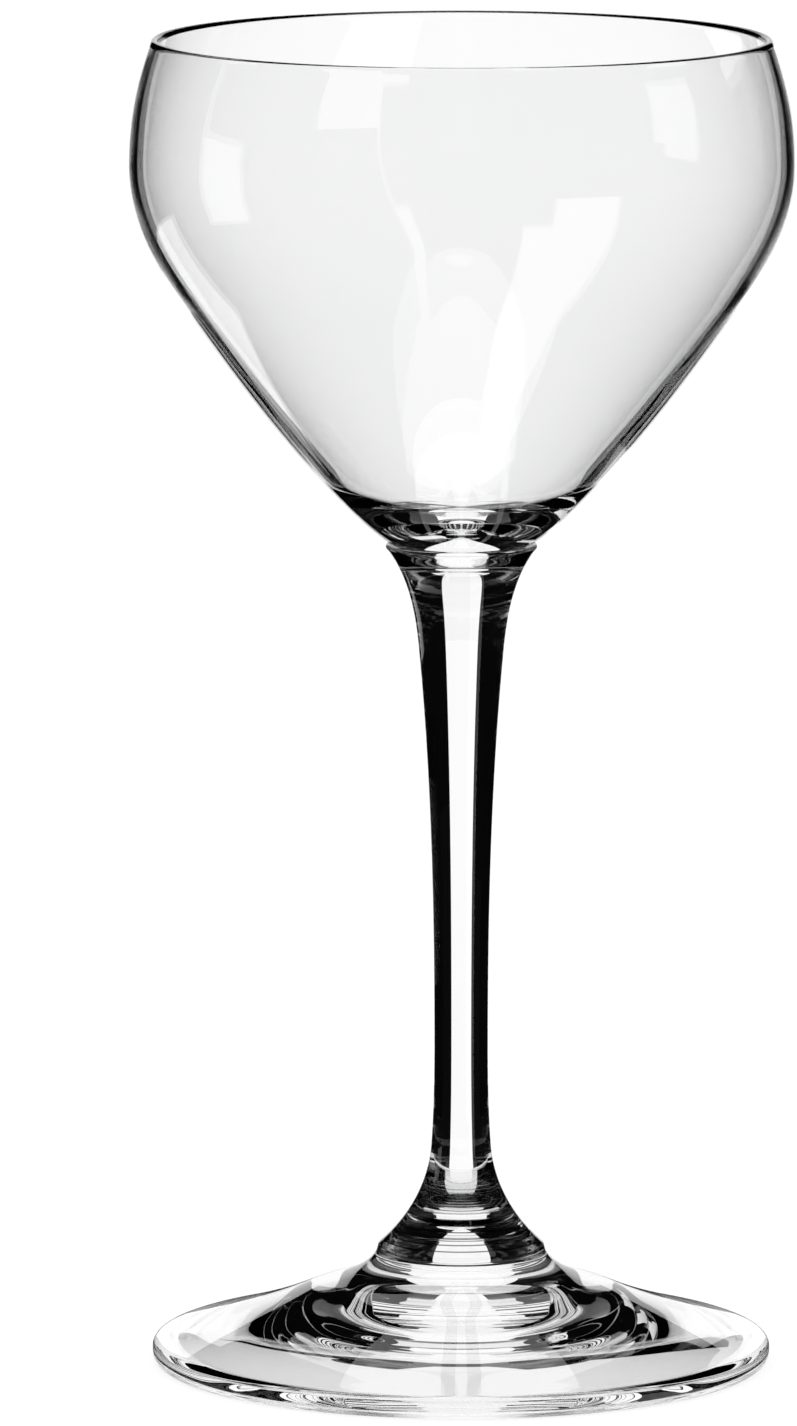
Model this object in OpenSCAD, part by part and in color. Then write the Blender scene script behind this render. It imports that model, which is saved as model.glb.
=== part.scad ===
// Nick and nora glass: a deep round bowl that closes towards its rim, on a slender stem
// and a round foot. It is three pieces of clear glass, fused end to end.
// Millimetres. The origin is the centre of the foot at table height, and +Z is up.

/* [Bowl] */
// Height of the rim above the table
rim_h = 155; // [148:0.5:175]
// Outside diameter of the rim
rim_d = 71.8; // [66:0.2:75]
// Inward lean of the wall at the rim, in degrees
rim_lean = 20; // [10:1:28]
// Widest outside diameter
belly_d = 77; // [76:0.5:84]
// Drop from the rim to the widest ring
belly_drop = 14.5; // [11:0.5:18]
// Outside diameter at the top of the flank
flank_top_d = 66.4; // [62:0.2:69]
// Drop from the widest ring to the top of the flank
flank_top_drop = 14.7; // [12:0.1:18]
// Outward lean of the flank at its top, in degrees
flank_top_lean = 34.5; // [30:0.5:38]
// Outside diameter at the bottom of the flank
flank_foot_d = 32; // [27:0.2:36]
// Height of the flank's bottom above the bowl's joint with the stem
flank_foot_rise = 7.2; // [6:0.1:9]
// Outward lean of the flank at its bottom, in degrees
flank_foot_lean = 43; // [38:0.5:48]
// Outward lean of the wall where it leaves the joint, in degrees
bowl_seat_lean = 56; // [50:1:64]
// Wall thickness at the rim
rim_wall = 0.9; // [0.7:0.05:1.4]
// Wall thickness at the widest ring
belly_wall = 1; // [0.7:0.05:1.6]
// Wall thickness at the top of the flank
flank_top_wall = 1.1; // [0.7:0.05:1.8]
// Wall thickness at the bottom of the flank
flank_foot_wall = 1.5; // [1:0.05:2.4]
// Glass under the middle of the bowl, above the joint
bowl_floor = 2.4; // [1.8:0.1:4]

/* [Stem] */
// Height of the stem's top, where the bowl sits
stem_top_h = 96.3; // [90:0.1:102]
// Diameter of the stem's top
stem_top_d = 17.6; // [15:0.1:20]
// Width of the ledge that the stem's top leaves round the bowl
seat_ledge = 0.6; // [0.4:0.1:1.2]
// Outward lean of the stem just under its top, in degrees
stem_top_lean = 38; // [30:1:46]
// Drop from the stem's top to its neck
neck_drop = 12; // [9:0.5:16]
// Diameter of the neck
neck_d = 9.95; // [8:0.05:12]
// Outward lean of the neck, in degrees
neck_lean = 5.5; // [3:0.5:9]
// Height of the waist, the narrowest place
waist_h = 37.5; // [34:0.5:45]
// Diameter of the waist
waist_d = 6.25; // [5:0.05:6.7]
// Height of the ankle, where the lower flare begins
ankle_h = 25.6; // [23:0.1:28]
// Diameter of the ankle
ankle_d = 6.95; // [6.5:0.05:8.2]
// Outward lean of the ankle, in degrees
ankle_lean = 4; // [2:0.5:8]
// Diameter of the lower flare at its corner
flare_d = 19.4; // [17:0.1:20.5]
// Outward lean of the lower flare at its corner, in degrees
flare_lean = 49; // [42:1:56]
// Height of the narrow band under the flare's corner
flare_band = 1.1; // [0.8:0.1:1.6]
// Radius of the stem's rounded corners
stem_corner = 0.3; // [0.15:0.05:0.4]

/* [Foot] */
// Diameter of the foot
foot_d = 72.1; // [64:0.1:82]
// Height of the foot's middle, where the stem stands
foot_seat_h = 12.9; // [11.5:0.1:15]
// Diameter of the joint between stem and foot
foot_seat_d = 19.9; // [18:0.1:22]
// Fall of the foot's top just outside the joint, in degrees below level
foot_seat_fall = 59; // [50:1:64]
// Diameter of the ring half way down the foot's slope
foot_slope_d = 37.2; // [34:0.2:40]
// Height of the ring half way down the foot's slope
foot_slope_h = 8.4; // [7.6:0.1:9.2]
// Fall of the foot's top at that ring, in degrees below level
foot_slope_fall = 24.5; // [20:0.5:28]
// Fall of the foot's top at its edge, in degrees below level
foot_edge_fall = 15; // [11:0.5:18]
// Thickness of the foot at its edge
foot_edge_t = 2.9; // [2.4:0.1:3.6]
// Radius of the rounding along the foot's edge
foot_corner = 1.1; // [0.6:0.1:1.2]
// Width of the flat ring that stands on the table
rest_w = 1.6; // [1:0.1:3]
// Height of the hollow under the middle of the foot
hollow_h = 5.6; // [3:0.1:6.5]

/* [Hidden] */
// Clear glass, faintly cool
glass_colour = [0.86, 0.93, 0.95, 0.45];
// Straight pieces in one smooth run of an outline, and in one rounded corner
run_steps = 10;
corner_steps = 6;
$fn = 120;
// Where the pieces meet
bowl_seat_h = stem_top_h;
bowl_seat_d = stem_top_d - 2 * seat_ledge;
stem_foot_h = foot_seat_h;
stem_foot_d = foot_seat_d;
// Heights that follow
belly_h = rim_h - belly_drop;
flank_top_h = belly_h - flank_top_drop;
flank_foot_h = bowl_seat_h + flank_foot_rise;
flare_h = stem_foot_h + flare_band;
neck_h = stem_top_h - neck_drop;
// Circle centres of the rounded corners, as radius and height
rim_centre = [rim_d / 2 - rim_wall / 2, rim_h - rim_wall / 2];
stem_top_centre = [stem_top_d / 2 - stem_corner, stem_top_h - stem_corner];
flare_centre = [flare_d / 2 - stem_corner, flare_h - stem_corner];
foot_top_centre = [foot_d / 2 - foot_corner, foot_edge_t - foot_corner];
foot_rest_centre = [foot_d / 2 - foot_corner, foot_corner];
// Inner radius of the flat ring that stands on the table
rest_r = foot_rest_centre.x - rest_w;
// Rise of the hollow at its edge, in degrees above level, which makes it one true arc
hollow_rise = 2 * atan(hollow_h / rest_r);

// Points of a circle, where an angle is in degrees above level
function around(centre, r, angle) = centre + r * [cos(angle), sin(angle)];

// Points of an arc from one angle to another
function arc(centre, r, from, to) =
    [for (i = [0 : corner_steps]) around(centre, r, from + (to - from) * i / corner_steps)];

// A station is one place on an outline: its point, as radius and height, and the way in
// which the outline leaves it, in degrees of lean outwards from straight up.
function station(point, lean) = [point, lean];
function ahead(s) = [sin(s[1]), cos(s[1])];

// The same place on the other face of a wall
function across(s, wall) = station(s[0] + wall * [-cos(s[1]), sin(s[1])], s[1]);

// Handle length as a share of the chord, which makes an even turn a true arc
function handle(turn) = abs(turn) < 1 ? 1 / 3 : 2 / 3 * tan(abs(turn) / 4) / sin(abs(turn) / 2);

// Points of the smooth run between two stations, without its first point
function run(a, b) =
    let (reach = handle(b[1] - a[1]) * norm(b[0] - a[0]))
    let (p = a[0] + reach * ahead(a), q = b[0] - reach * ahead(b))
    [for (i = [1 : run_steps]) curve(a[0], p, q, b[0], i / run_steps)];
function curve(a, p, q, b, t) =
    pow(1 - t, 3) * a + 3 * pow(1 - t, 2) * t * p + 3 * (1 - t) * pow(t, 2) * q + pow(t, 3) * b;

// Points of the whole outline through a list of stations
function outline(stations) =
    [stations[0][0], for (i = [1 : len(stations) - 1]) each run(stations[i - 1], stations[i])];

// The wall's outer face, from the joint up to the rim
flank_foot = station([flank_foot_d / 2, flank_foot_h], flank_foot_lean);
flank_top = station([flank_top_d / 2, flank_top_h], flank_top_lean);
belly = station([belly_d / 2, belly_h], 0);
rim = station(around(rim_centre, rim_wall / 2, rim_lean), -rim_lean);
bowl_outside = [
    station([bowl_seat_d / 2, bowl_seat_h], bowl_seat_lean),
    flank_foot,
    flank_top,
    belly,
    rim
];
// The wall's inner face, from the middle of the bowl up to the rim
bowl_inside = [
    station([0, bowl_seat_h + bowl_floor], 90),
    across(flank_foot, flank_foot_wall),
    across(flank_top, flank_top_wall),
    across(belly, belly_wall),
    across(rim, rim_wall)
];
// The stem's side, from the lower flare up to the top
stem_side = [
    station(around(flare_centre, stem_corner, flare_lean), -flare_lean),
    station([ankle_d / 2, ankle_h], -ankle_lean),
    station([waist_d / 2, waist_h], 0),
    station([neck_d / 2, neck_h], neck_lean),
    station(around(stem_top_centre, stem_corner, -stem_top_lean), stem_top_lean)
];
// The foot's top, from the joint out to the edge
foot_top = [
    station([foot_seat_d / 2, foot_seat_h], 90 + foot_seat_fall),
    station([foot_slope_d / 2, foot_slope_h], 90 + foot_slope_fall),
    station(around(foot_top_centre, foot_corner, 90 - foot_edge_fall), 90 + foot_edge_fall)
];
// The hollow under the foot, from the flat ring in to the middle
foot_hollow = [
    station([rest_r, 0], hollow_rise - 90),
    station([0, hollow_h], -90)
];

module turned(points) {
    rotate_extrude() polygon(points);
}

// The bowl, with a rounded lip and a flat joint face
module bowl() {
    wall_inside = outline(bowl_inside);
    color(glass_colour) turned([
        [0, bowl_seat_h],
        each outline(bowl_outside),
        each arc(rim_centre, rim_wall / 2, rim_lean, 180 + rim_lean),
        for (i = [len(wall_inside) - 1 : -1 : 0]) wall_inside[i]
    ]);
}

// The stem, solid, which flares out to the bowl above and to the foot below
module stem() {
    color(glass_colour) turned([
        [0, stem_foot_h],
        [stem_foot_d / 2, stem_foot_h],
        each arc(flare_centre, stem_corner, 0, flare_lean),
        each outline(stem_side),
        each arc(stem_top_centre, stem_corner, -stem_top_lean, 90),
        [0, stem_top_h]
    ]);
}

// The foot, with a sloping top, a rounded edge and a shallow hollow underneath
module foot() {
    color(glass_colour) turned([
        [0, foot_seat_h],
        each outline(foot_top),
        each arc(foot_top_centre, foot_corner, 90 - foot_edge_fall, 0),
        each arc(foot_rest_centre, foot_corner, 0, -90),
        each outline(foot_hollow)
    ]);
}

bowl();
stem();
foot();
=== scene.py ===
# Nick and nora glass: the look of its three fused pieces of clear glass.
# Sizes are in millimetres and degrees, and MM turns them into the scene's metres.
# The origin is the centre of the foot at table height, and +Z is up.
import math

import bpy
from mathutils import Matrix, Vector


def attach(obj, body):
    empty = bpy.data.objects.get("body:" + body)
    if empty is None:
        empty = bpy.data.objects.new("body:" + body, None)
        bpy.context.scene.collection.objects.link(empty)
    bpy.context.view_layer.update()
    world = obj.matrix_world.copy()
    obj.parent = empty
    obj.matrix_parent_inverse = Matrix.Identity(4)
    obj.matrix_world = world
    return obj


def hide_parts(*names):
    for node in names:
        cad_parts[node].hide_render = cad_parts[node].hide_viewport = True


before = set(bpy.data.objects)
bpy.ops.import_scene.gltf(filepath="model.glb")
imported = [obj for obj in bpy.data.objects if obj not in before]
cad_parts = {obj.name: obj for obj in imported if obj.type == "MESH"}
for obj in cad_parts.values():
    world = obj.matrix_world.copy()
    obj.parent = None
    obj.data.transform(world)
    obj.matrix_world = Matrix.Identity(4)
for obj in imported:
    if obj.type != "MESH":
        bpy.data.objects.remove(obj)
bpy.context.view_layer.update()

MM = 0.001
BODY = "root"

# Bowl
RIM_H = 155
RIM_D = 71.8
RIM_LEAN = 20
BELLY_D = 77
BELLY_DROP = 14.5
FLANK_TOP_D = 66.4
FLANK_TOP_DROP = 14.7
FLANK_TOP_LEAN = 34.5
FLANK_FOOT_D = 32
FLANK_FOOT_RISE = 7.2
FLANK_FOOT_LEAN = 43
BOWL_SEAT_LEAN = 56
RIM_WALL = 0.9
BELLY_WALL = 1
FLANK_TOP_WALL = 1.1
FLANK_FOOT_WALL = 1.5
BOWL_FLOOR = 2.4

# Stem
STEM_TOP_H = 96.3
STEM_TOP_D = 17.6
SEAT_LEDGE = 0.6
STEM_TOP_LEAN = 38
NECK_DROP = 12
NECK_D = 9.95
NECK_LEAN = 5.5
WAIST_H = 37.5
WAIST_D = 6.25
ANKLE_H = 25.6
ANKLE_D = 6.95
ANKLE_LEAN = 4
FLARE_D = 19.4
FLARE_LEAN = 49
FLARE_BAND = 1.1
STEM_CORNER = 0.3

# Foot
FOOT_D = 72.1
FOOT_SEAT_H = 12.9
FOOT_SEAT_D = 19.9
FOOT_SEAT_FALL = 59
FOOT_SLOPE_D = 37.2
FOOT_SLOPE_H = 8.4
FOOT_SLOPE_FALL = 24.5
FOOT_EDGE_FALL = 15
FOOT_EDGE_T = 2.9
FOOT_CORNER = 1.1
REST_W = 1.6
HOLLOW_H = 5.6

# Gap that keeps the stem's lower joint a visible hairline
HAIRLINE = 0.03

# Fineness of the turned meshes: points in one smooth run, in one rounded corner, and round the axis
RUN_STEPS = 28
CORNER_STEPS = 6
ROUND_STEPS = 192
# Least radius of a ring that isn't a point on the axis
AXIS_R = 1e-6
# Turn, in radians, below which a smooth run counts as straight
STRAIGHT_TURN = 0.02

# Glass: its refractive index, the two tints it drifts between, its roughest haze and the depth of its waves
GLASS_IOR = 1.52
TINT = (0.985, 0.992, 0.988, 1)
CLEAR = (1, 1, 1, 1)
HAZE = 0.01
WAVE_DEPTH = 0.03
# Fineness of the tint, the haze and the waves, as noise features in a metre
TINT_SCALE = 40
HAZE_SCALE = 220
WAVE_SCALE = 70
# Tool marks on the lower flare: the near-black painted shade in their grooves, depth, pitch, the level of a sine
# wave above which it cuts, the height where they end, and how far below it they begin to fade
PAINTED_GROOVE_SHADE = (0.02, 0.02, 0.02, 1)
MARK_DEPTH = 0.006
MARK_PITCH = 0.65
MARK_LEVEL = 0.6
MARK_TOP = 19.5
MARK_FADE = 1.5

# Floor: half its width in metres, its paper, and its glow as seen
FLOOR_R = 6.0
PAPER = (0.25, 0.25, 0.25, 1)
GLOW = 0.86
# Surround: its strength as a light and as seen
SKY_LIGHT = 0.8
SKY_GLOW = 1.0

# Black cards of the studio: colour, straight pieces in a curve, and lift off the table
BLACK = (0.004, 0.004, 0.004, 1)
CARD_STEPS = 24
CARD_LIFT = 0.2
# Half-widths of the gaps between the cards, behind the glass and under the foot
WINDOW = 15
UNDER_WINDOW = 20
# Radii of the cards close to the stem, and far off on the right and on the left
NEAR_R = 45
RIGHT_R = 650
LEFT_R = 450
# Radii of the cards under the foot: the middle disc, the narrow ring and the wide ring
UNDER_MIDDLE_R = 6
UNDER_R = 15
UNDER_WIDE_R = 31
# Inner radius of the cards on the table round the foot
TABLE_R = 37

# Camera, fitted to the photograph
CAMERA_DISTANCE = 1468.6
CAMERA_H = 292.25
CAMERA_SIDE = -7.3
CAMERA_PITCH = 8.36
CAMERA_LENS = 322.7
# Furthest distance that it sees, in metres
CAMERA_REACH = 20

# How often light may turn at a surface, in all and as a mirror image
BOUNCES = 24
MIRROR_BOUNCES = 12


# Outlines. A point is radius and height, and a station is a point with the lean of the outline there.
def around(centre, r, angle):
    a = math.radians(angle)
    return (centre[0] + r * math.cos(a), centre[1] + r * math.sin(a))


def arc(centre, r, start, end):
    step = (end - start) / CORNER_STEPS
    return [around(centre, r, start + step * i) for i in range(CORNER_STEPS + 1)]


def station(r, z, lean):
    return (Vector((r, z)), lean)


def ahead(s):
    a = math.radians(s[1])
    return Vector((math.sin(a), math.cos(a)))


def across(s, wall):
    """The same place on the other face of a wall."""
    a = math.radians(s[1])
    return (s[0] + wall * Vector((-math.cos(a), math.sin(a))), s[1])


def handle(turn):
    """The handle length of a smooth run as a share of its chord, which makes an even turn an arc."""
    t = math.radians(abs(turn))
    return 1 / 3 if t < STRAIGHT_TURN else 2 / 3 * math.tan(t / 4) / math.sin(t / 2)


def run(a, b):
    """The points of the smooth run between two stations, without its first point."""
    reach = handle(b[1] - a[1]) * (b[0] - a[0]).length
    p = a[0] + reach * ahead(a)
    q = b[0] - reach * ahead(b)
    points = []
    for i in range(1, RUN_STEPS + 1):
        t = i / RUN_STEPS
        s = 1 - t
        points.append(s**3 * a[0] + 3 * s * s * t * p + 3 * s * t * t * q + t**3 * b[0])
    return points


def outline(stations):
    points = [stations[0][0]]
    for a, b in zip(stations, stations[1:]):
        points += run(a, b)
    return [tuple(p) for p in points]


def add_object(name, verts, faces, materials):
    mesh = bpy.data.meshes.new(name)
    mesh.from_pydata(verts, [], faces)
    for m in materials:
        mesh.materials.append(m)
    obj = bpy.data.objects.new(name, mesh)
    bpy.context.scene.collection.objects.link(obj)
    return obj


def turned(name, faces):
    """A closed piece turned about Z. faces is a list of (points, material); each starts where the last one ended."""
    points = []
    kinds = []
    materials = []
    for part, material in faces:
        if material not in materials:
            materials.append(material)
        for p in part[1 if points else 0:]:
            points.append(p)
            kinds.append(materials.index(material))
    verts = []
    rings = []
    for r, z in points:
        if r < AXIS_R:
            rings.append([len(verts)] * ROUND_STEPS)
            verts.append((0, 0, z * MM))
            continue
        rings.append(list(range(len(verts), len(verts) + ROUND_STEPS)))
        for k in range(ROUND_STEPS):
            a = 2 * math.pi * k / ROUND_STEPS
            verts.append((r * MM * math.cos(a), r * MM * math.sin(a), z * MM))
    polys = []
    slots = []
    for i in range(1, len(rings)):
        for k in range(ROUND_STEPS):
            n = (k + 1) % ROUND_STEPS
            corners = [rings[i - 1][k], rings[i - 1][n], rings[i][n], rings[i][k]]
            polys.append([c for j, c in enumerate(corners) if c != corners[j - 1]])
            slots.append(kinds[i])
    obj = add_object(name, verts, polys, materials)
    obj.data.polygons.foreach_set("material_index", slots)
    obj.data.polygons.foreach_set("use_smooth", [True] * len(polys))
    obj.data.update()
    return obj


# Materials
def node_material(name):
    mat = bpy.data.materials.new(name)
    mat.use_nodes = True
    mat.node_tree.nodes.clear()
    return mat, mat.node_tree.nodes, mat.node_tree.links


def linked(links, node, **inputs):
    """Links outputs to a node's inputs by name, where _ stands for a space."""
    for name, output in inputs.items():
        links.new(output, node.inputs[name.replace("_", " ")])
    return node.outputs[0]


def noise(nodes, links, place, scale, detail):
    node = nodes.new("ShaderNodeTexNoise")
    node.inputs["Scale"].default_value = scale
    node.inputs["Detail"].default_value = detail
    return linked(links, node, Vector=place)


def ramp(nodes, links, value, start=0.0, end=1.0, low=0.0, high=1.0, smooth=False):
    """Goes from low to high while value goes from start to end."""
    node = nodes.new("ShaderNodeMapRange")
    if smooth:
        node.interpolation_type = "SMOOTHSTEP"
    node.inputs["From Min"].default_value = start
    node.inputs["From Max"].default_value = end
    node.inputs["To Min"].default_value = low
    node.inputs["To Max"].default_value = high
    return linked(links, node, Value=value)


def math_node(nodes, links, operation, first, second):
    """An operation on an output and on a second output or a plain number."""
    node = nodes.new("ShaderNodeMath")
    node.operation = operation
    links.new(first, node.inputs[0])
    if isinstance(second, (int, float)):
        node.inputs[1].default_value = second
    else:
        links.new(second, node.inputs[1])
    return node.outputs[0]


def mixed(nodes, links, factor, first, colour):
    """A mix from a first colour, or an output that gives one, to a second colour."""
    node = nodes.new("ShaderNodeMix")
    node.data_type = "RGBA"
    node.inputs["B"].default_value = colour
    if isinstance(first, tuple):
        node.inputs["A"].default_value = first
    else:
        links.new(first, node.inputs["A"])
    links.new(factor, node.inputs["Factor"])
    return node.outputs["Result"]


def tool_mark_grooves_and_shade(nodes, links, place):
    """Fine grooves that the shaping tool left round the lower flare, as depths from 0 to 1; the same values also set
    where the glass is painted dark as shade in the grooves.
    """
    split = nodes.new("ShaderNodeSeparateXYZ")
    links.new(place, split.inputs[0])
    z = split.outputs["Z"]
    turns = math_node(nodes, links, "MULTIPLY", z, 2 * math.pi / (MARK_PITCH * MM))
    wave = math_node(nodes, links, "SINE", turns, 0)
    groove = ramp(nodes, links, wave, start=MARK_LEVEL, smooth=True)
    fade = ramp(nodes, links, z, start=MARK_TOP * MM, end=(MARK_TOP - MARK_FADE) * MM)
    faded = math_node(nodes, links, "MULTIPLY", groove, fade)
    above = math_node(nodes, links, "GREATER_THAN", z, (FOOT_SEAT_H + FLARE_BAND) * MM)
    return math_node(nodes, links, "MULTIPLY", faded, above)


def bump(nodes, links, height, depth, normal=None):
    node = nodes.new("ShaderNodeBump")
    node.inputs["Strength"].default_value = 1
    node.inputs["Distance"].default_value = depth * MM
    links.new(height, node.inputs["Height"])
    if normal:
        links.new(normal, node.inputs["Normal"])
    return node.outputs[0]


def glass_material():
    """Clear glass, with the faint unevenness of a turned and fire-polished surface, and painted shade darkening the
    grooves of its tool marks.
    """
    mat, nodes, links = node_material("clear_glass")
    out = nodes.new("ShaderNodeOutputMaterial")
    glass = nodes.new("ShaderNodeBsdfPrincipled")
    glass.inputs["IOR"].default_value = GLASS_IOR
    glass.inputs["Transmission Weight"].default_value = 1
    place = nodes.new("ShaderNodeTexCoord").outputs["Object"]
    grooves_and_painted_shade = tool_mark_grooves_and_shade(nodes, links, place)
    tint = mixed(nodes, links, noise(nodes, links, place, TINT_SCALE, 1), TINT, CLEAR)
    # Painted shade: the glass's colour goes near black in the grooves of the tool marks, standing in for the shade
    # there; the grooves' depth is a real bump below
    links.new(mixed(nodes, links, grooves_and_painted_shade, tint, PAINTED_GROOVE_SHADE), glass.inputs["Base Color"])
    haze = ramp(nodes, links, noise(nodes, links, place, HAZE_SCALE, 3), high=HAZE)
    links.new(haze, glass.inputs["Roughness"])
    waves = bump(nodes, links, noise(nodes, links, place, WAVE_SCALE, 1), WAVE_DEPTH)
    links.new(bump(nodes, links, grooves_and_painted_shade, -MARK_DEPTH, waves), glass.inputs["Normal"])
    links.new(glass.outputs[0], out.inputs["Surface"])
    return mat


def joint_material():
    """The fused joint inside the glass, which light passes straight through."""
    mat, nodes, links = node_material("fused_joint")
    out = nodes.new("ShaderNodeOutputMaterial")
    clear = nodes.new("ShaderNodeBsdfTransparent")
    links.new(clear.outputs[0], out.inputs["Surface"])
    return mat


# The glass
def make_bowl(glass, joint):
    belly_h = RIM_H - BELLY_DROP
    rim_centre = (RIM_D / 2 - RIM_WALL / 2, RIM_H - RIM_WALL / 2)
    foot = station(FLANK_FOOT_D / 2, STEM_TOP_H + FLANK_FOOT_RISE, FLANK_FOOT_LEAN)
    top = station(FLANK_TOP_D / 2, belly_h - FLANK_TOP_DROP, FLANK_TOP_LEAN)
    belly = station(BELLY_D / 2, belly_h, 0)
    rim = station(*around(rim_centre, RIM_WALL / 2, RIM_LEAN), -RIM_LEAN)
    seat_r = STEM_TOP_D / 2 - SEAT_LEDGE
    outside = outline([station(seat_r, STEM_TOP_H, BOWL_SEAT_LEAN), foot, top, belly, rim])
    inside = outline([
        station(0, STEM_TOP_H + BOWL_FLOOR, 90),
        across(foot, FLANK_FOOT_WALL),
        across(top, FLANK_TOP_WALL),
        across(belly, BELLY_WALL),
        across(rim, RIM_WALL),
    ])
    return turned("glass_bowl", [
        ([(0, STEM_TOP_H), (seat_r, STEM_TOP_H)], joint),
        (outside, glass),
        (arc(rim_centre, RIM_WALL / 2, RIM_LEAN, 180 + RIM_LEAN), glass),
        (inside[::-1], glass),
    ])


def make_stem(glass, joint):
    flare_centre = (FLARE_D / 2 - STEM_CORNER, FOOT_SEAT_H + FLARE_BAND - STEM_CORNER)
    top_centre = (STEM_TOP_D / 2 - STEM_CORNER, STEM_TOP_H - STEM_CORNER)
    side = outline([
        station(*around(flare_centre, STEM_CORNER, FLARE_LEAN), -FLARE_LEAN),
        station(ANKLE_D / 2, ANKLE_H, -ANKLE_LEAN),
        station(WAIST_D / 2, WAIST_H, 0),
        station(NECK_D / 2, STEM_TOP_H - NECK_DROP, NECK_LEAN),
        station(*around(top_centre, STEM_CORNER, -STEM_TOP_LEAN), STEM_TOP_LEAN),
    ])
    seat_r = STEM_TOP_D / 2 - SEAT_LEDGE
    foot_h = FOOT_SEAT_H + HAIRLINE
    return turned("glass_stem", [
        ([(0, foot_h), (FOOT_SEAT_D / 2, foot_h)], glass),
        ([(FOOT_SEAT_D / 2, foot_h), around(flare_centre, STEM_CORNER, 0)], glass),
        (arc(flare_centre, STEM_CORNER, 0, FLARE_LEAN), glass),
        (side, glass),
        (arc(top_centre, STEM_CORNER, -STEM_TOP_LEAN, 90), glass),
        ([(top_centre[0], STEM_TOP_H), (seat_r, STEM_TOP_H)], glass),
        ([(seat_r, STEM_TOP_H), (0, STEM_TOP_H)], joint),
    ])


def make_foot(glass):
    top_centre = (FOOT_D / 2 - FOOT_CORNER, FOOT_EDGE_T - FOOT_CORNER)
    rest_centre = (FOOT_D / 2 - FOOT_CORNER, FOOT_CORNER)
    edge_angle = 90 - FOOT_EDGE_FALL
    top = outline([
        station(FOOT_SEAT_D / 2, FOOT_SEAT_H, 90 + FOOT_SEAT_FALL),
        station(FOOT_SLOPE_D / 2, FOOT_SLOPE_H, 90 + FOOT_SLOPE_FALL),
        station(*around(top_centre, FOOT_CORNER, edge_angle), 90 + FOOT_EDGE_FALL),
    ])
    rest_r = rest_centre[0] - REST_W
    rise = 2 * math.degrees(math.atan(HOLLOW_H / rest_r))
    hollow = outline([station(rest_r, 0, rise - 90), station(0, HOLLOW_H, -90)])
    return turned("glass_foot", [
        (hollow[::-1], glass),
        ([(rest_r, 0), (rest_centre[0], 0)], glass),
        (arc(rest_centre, FOOT_CORNER, -90, 0), glass),
        (arc(top_centre, FOOT_CORNER, 0, edge_angle), glass),
        (top[::-1], glass),
        ([(FOOT_SEAT_D / 2, FOOT_SEAT_H), (0, FOOT_SEAT_H)], glass),
    ])


def dress(piece, node):
    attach(piece, BODY)
    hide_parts(node)


# The stage
def shown_ray(nodes, links):
    """One for rays that show the stage: from the camera, mirrored or through glass."""
    path = nodes.new("ShaderNodeLightPath").outputs
    seen = math_node(nodes, links, "MAXIMUM", path["Is Camera Ray"], path["Is Glossy Ray"])
    return math_node(nodes, links, "MAXIMUM", seen, path["Is Transmission Ray"])


def make_floor():
    mat, nodes, links = node_material("pale_floor")
    out = nodes.new("ShaderNodeOutputMaterial")
    paper = nodes.new("ShaderNodeBsdfDiffuse")
    paper.inputs["Color"].default_value = PAPER
    glow = nodes.new("ShaderNodeEmission")
    linked(links, glow, Strength=math_node(nodes, links, "MULTIPLY", shown_ray(nodes, links), GLOW))
    add = nodes.new("ShaderNodeAddShader")
    links.new(paper.outputs[0], add.inputs[0])
    links.new(glow.outputs[0], add.inputs[1])
    links.new(add.outputs[0], out.inputs["Surface"])
    r = FLOOR_R
    add_object("floor", [(-r, -r, 0), (r, -r, 0), (r, r, 0), (-r, r, 0)], [(0, 1, 2, 3)], [mat])


def place_card(name, verts, mat):
    """A black card. verts runs along it in pairs, one on each long edge."""
    faces = [(i, i + 2, i + 3, i + 1) for i in range(0, len(verts) - 2, 2)]
    card = add_object(name, [(x * MM, y * MM, z * MM) for x, y, z in verts], faces, [mat])
    card.visible_camera = False
    card.visible_diffuse = False
    card.visible_shadow = False


def bearings(start, end):
    """Directions from the glass, from +Y towards +X, given in degrees, as sine and cosine."""
    angles = [math.radians(start + (end - start) * i / CARD_STEPS) for i in range(CARD_STEPS + 1)]
    return [(math.sin(a), math.cos(a)) for a in angles]


def standing_card(name, radius, start, end, low, high, mat):
    verts = []
    for s, c in bearings(start, end):
        verts += [(radius * s, radius * c, low), (radius * s, radius * c, high)]
    place_card(name, verts, mat)


def lying_card(name, inner, outer, start, end, mat):
    verts = []
    for s, c in bearings(start, end):
        verts += [(inner * s, inner * c, CARD_LIFT), (outer * s, outer * c, CARD_LIFT)]
    place_card(name, verts, mat)


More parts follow.
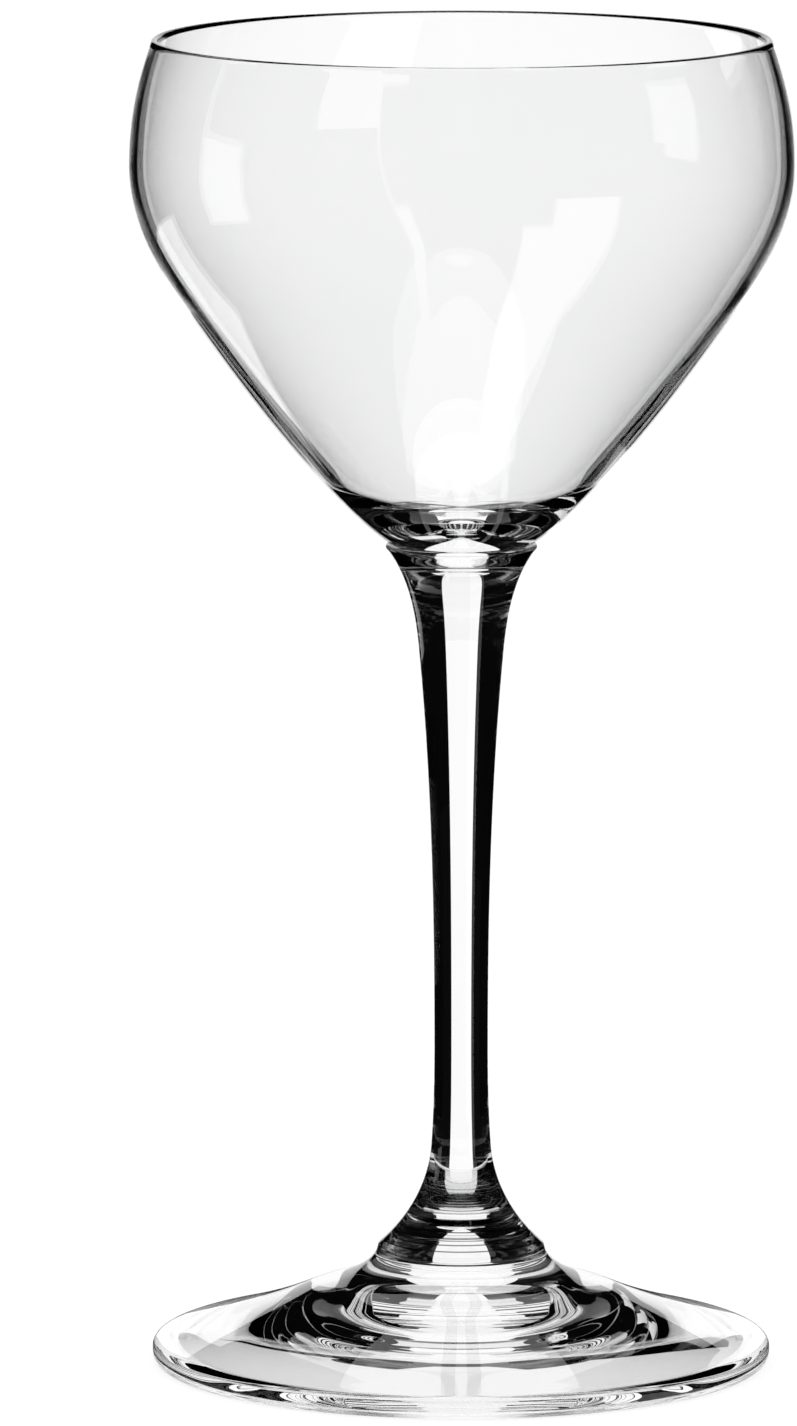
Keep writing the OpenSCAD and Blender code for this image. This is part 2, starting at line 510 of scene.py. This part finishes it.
def make_cards():
    mat, nodes, links = node_material("black_card")
    out = nodes.new("ShaderNodeOutputMaterial")
    black = nodes.new("ShaderNodeBsdfDiffuse")
    black.inputs["Color"].default_value = BLACK
    links.new(black.outputs[0], out.inputs["Surface"])
    left = 360 - WINDOW
    # Close to the stem
    standing_card("card_near_right", NEAR_R, 30, 55, 18, 74, mat)
    standing_card("card_near_left", NEAR_R, 282, 330, 18, 74, mat)
    # Round the set, with a gap behind the glass in each view
    standing_card("card_right", RIGHT_R, WINDOW, 125, CARD_LIFT, 1350, mat)
    standing_card("card_right_back", RIGHT_R, 125, 149, 60, 1350, mat)
    standing_card("card_back", 320, 149, 258, CARD_LIFT, 450, mat)
    standing_card("card_back_high", RIGHT_R, 156, 261, 120, 1400, mat)
    standing_card("card_side_high", RIGHT_R, 261, 279, 200, 1400, mat)
    standing_card("card_left", LEFT_R, 279, left, CARD_LIFT, 1400, mat)
    # On the table, under the foot
    lying_card("card_under_middle", 0, UNDER_MIDDLE_R, 0, 360, mat)
    lying_card("card_under_right", UNDER_MIDDLE_R, UNDER_WIDE_R, UNDER_WINDOW, 98, mat)
    lying_card("card_under_back", UNDER_MIDDLE_R, UNDER_R, 98, 150, mat)
    lying_card("card_under_front", UNDER_MIDDLE_R, UNDER_R, 210, 291, mat)
    lying_card("card_under_left", UNDER_MIDDLE_R, UNDER_WIDE_R, 291, 360 - UNDER_WINDOW, mat)
    # On the table, round the foot
    lying_card("card_floor_right", TABLE_R, RIGHT_R, WINDOW, 125, mat)
    lying_card("card_floor_left", TABLE_R, LEFT_R, 279, 303, mat)
    lying_card("card_floor_front_left", TABLE_R, 170, 303, 327, mat)
    lying_card("card_floor_left_window", TABLE_R, LEFT_R, 327, left, mat)
    lying_card("card_floor_back", TABLE_R, 355, 159, 279, mat)


def make_world():
    world = bpy.data.worlds.new("studio")
    bpy.context.scene.world = world
    world.use_nodes = True
    nodes = world.node_tree.nodes
    links = world.node_tree.links
    nodes.clear()
    out = nodes.new("ShaderNodeOutputWorld")
    sky = nodes.new("ShaderNodeBackground")
    sky.inputs["Color"].default_value = CLEAR
    level = ramp(nodes, links, shown_ray(nodes, links), low=SKY_LIGHT, high=SKY_GLOW)
    linked(links, sky, Strength=level)
    links.new(sky.outputs[0], out.inputs["Surface"])


def make_camera():
    camera = bpy.data.cameras.new("camera")
    camera.lens = CAMERA_LENS
    camera.clip_end = CAMERA_REACH
    obj = bpy.data.objects.new("camera", camera)
    obj.location = (CAMERA_SIDE * MM, -CAMERA_DISTANCE * MM, CAMERA_H * MM)
    obj.rotation_euler = (math.radians(90 - CAMERA_PITCH), 0, 0)
    bpy.context.scene.collection.objects.link(obj)
    bpy.context.scene.camera = obj


make_camera()
glass = glass_material()
joint = joint_material()
dress(make_bowl(glass, joint), "bowl")
dress(make_stem(glass, joint), "stem")
dress(make_foot(glass), "foot")
make_floor()
make_cards()
make_world()

scene = bpy.context.scene
scene.view_settings.view_transform = "Standard"
scene.cycles.max_bounces = BOUNCES
scene.cycles.transmission_bounces = BOUNCES
scene.cycles.glossy_bounces = MIRROR_BOUNCES
